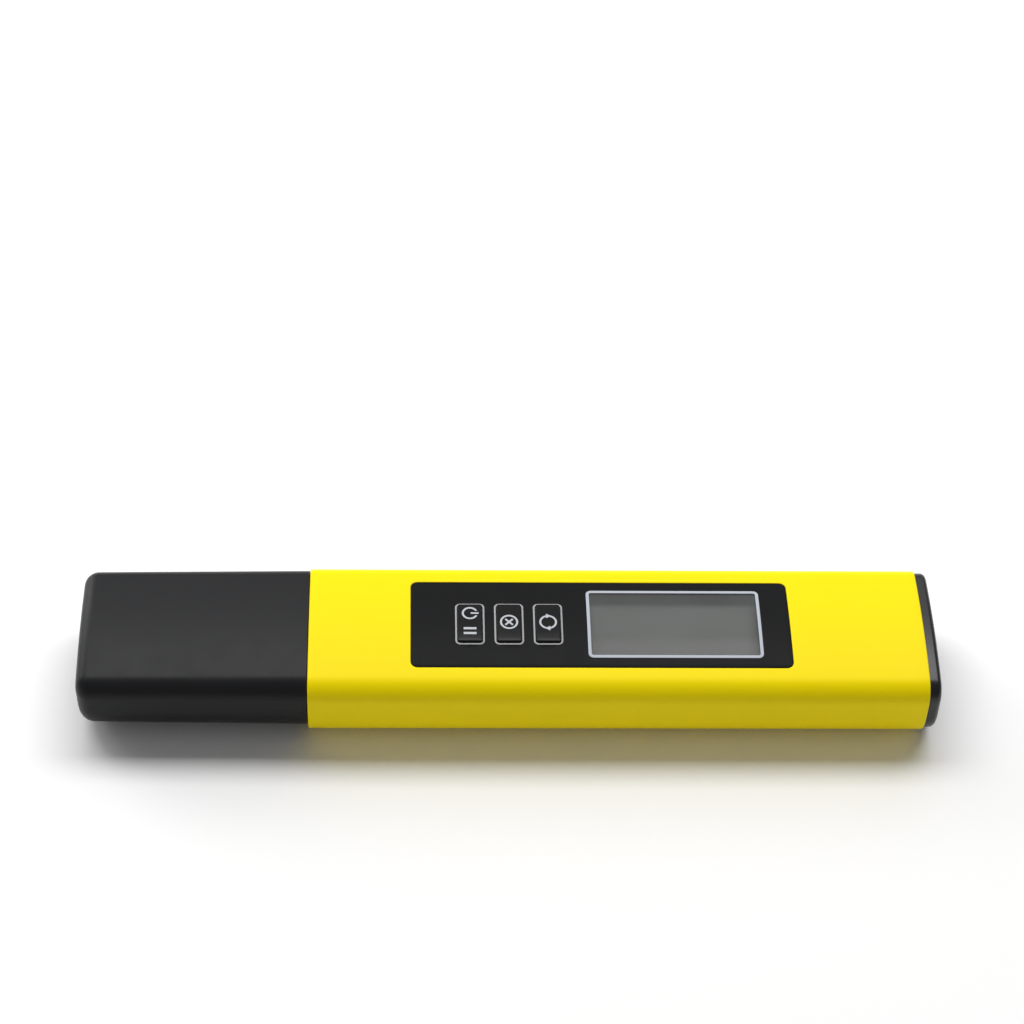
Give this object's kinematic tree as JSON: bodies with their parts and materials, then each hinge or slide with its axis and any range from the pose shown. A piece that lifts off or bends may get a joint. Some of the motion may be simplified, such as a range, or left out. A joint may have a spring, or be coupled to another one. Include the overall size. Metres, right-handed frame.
{
  "type": "digital pH meter",
  "caption": "Pen-type digital pH meter with a membrane key panel, a display window, a pull-off electrode cap and a pull-out battery drawer.",
  "frame": {"origin": "under the middle of the pen, on the plane that its back lies on", "axes": "+X along the pen towards the battery end, +Z out of the front face"},
  "size_m": [0.155, 0.0306, 0.0176],
  "materials": {
    "housing_yellow": "fine moulded satin",
    "panel_black": "printed film, satin",
    "window_clear": "clear film",
    "print_pale_blue": "screen printed ink",
    "print_silver": "screen printed ink",
    "key_black": "embossed film, satin",
    "icon_white": "screen printed ink",
    "button_ivory": "moulded",
    "switch_grey": "moulded",
    "carrier_black": "moulded",
    "board_green": "solder mask",
    "screw_steel": "zinc plated",
    "holder_white": "moulded",
    "display_grey": "polariser film, blank display",
    "strip_pink": "silicone",
    "chip_black": "epoxy",
    "crystal_can": "drawn can",
    "capacitor_tan": "fired ceramic",
    "contact_gold": "plated spring strip",
    "cover_black": "fine moulded texture",
    "seal_red": "silicone",
    "tray_black": "moulded",
    "link_nickel": "nickel plated strip",
    "cell_steel": "stainless can",
    "head_black": "moulded",
    "guard_black": "moulded",
    "tube_white": "moulded",
    "bulb_glass": "thin blown glass",
    "wire_silver": "drawn wire",
    "wick_white": "porous ceramic",
    "probe_steel": "drawn tube",
    "lead_black": "insulated lead",
    "lead_red": "insulated lead",
    "cap_black": "fine moulded texture",
    "sponge_yellow": "open cell sponge"
  },
  "bodies": {
    "meter": {"housing": "housing_yellow", "overlay": "panel_black", "lcd_window": "window_clear", "window_line_print": "print_pale_blue", "outline_power": "print_silver", "outline_clear": "print_silver", "outline_mode": "print_silver", "switch_body_power": "switch_grey", "switch_body_clear": "switch_grey", "switch_body_mode": "switch_grey", "board_carrier": "carrier_black", "circuit_board": "board_green", "board_screws": "screw_steel", "lcd_holder": "holder_white", "lcd_glass": "display_grey", "contact_strip_far": "strip_pink", "contact_strip_near": "strip_pink", "controller_blob": "chip_black", "amplifier_chip": "chip_black", "crystal": "crystal_can", "capacitors": "capacitor_tan", "resistors": "chip_black", "battery_contacts": "contact_gold", "sensor_head": "head_black", "head_seal": "seal_red", "neck_seal": "seal_red", "probe_guard": "guard_black", "electrode_tube": "tube_white", "glass_bulb": "bulb_glass", "silver_wire": "wire_silver", "reference_wick": "wick_white", "temperature_probe": "probe_steel", "electrode_lead": "lead_black", "temperature_lead": "lead_red"},
    "battery_drawer": {"battery_cover": "cover_black", "cover_seal": "seal_red", "battery_tray": "tray_black", "battery_link": "link_nickel", "battery_cell_1": "cell_steel", "battery_cell_2": "cell_steel"},
    "cap": {"cap": "cap_black", "cap_sponge": "sponge_yellow"},
    "key_power": {"key_power": "key_black", "icon_power": "icon_white", "switch_button_power": "button_ivory"},
    "key_clear": {"key_clear": "key_black", "icon_clear": "icon_white", "switch_button_clear": "button_ivory"},
    "key_mode": {"key_mode": "key_black", "icon_mode": "icon_white", "switch_button_mode": "button_ivory"}
  },
  "joints": [
    {"name": "cap_pull", "type": "slide", "parent": "meter", "child": "cap", "axis": [-1, 0, 0], "range_m": [0, 0.045]},
    {"name": "battery_drawer_pull", "type": "slide", "parent": "meter", "child": "battery_drawer", "axis": [1, 0, 0], "range_m": [0, 0.025]},
    {"name": "key_power_press", "type": "slide", "parent": "meter", "child": "key_power", "axis": [0, 0, -1], "range_m": [0, 0.00025], "stiffness_N_per_m": 800},
    {"name": "key_clear_press", "type": "slide", "parent": "meter", "child": "key_clear", "axis": [0, 0, -1], "range_m": [0, 0.00025], "stiffness_N_per_m": 800},
    {"name": "key_mode_press", "type": "slide", "parent": "meter", "child": "key_mode", "axis": [0, 0, -1], "range_m": [0, 0.00025], "stiffness_N_per_m": 800}
  ]
}
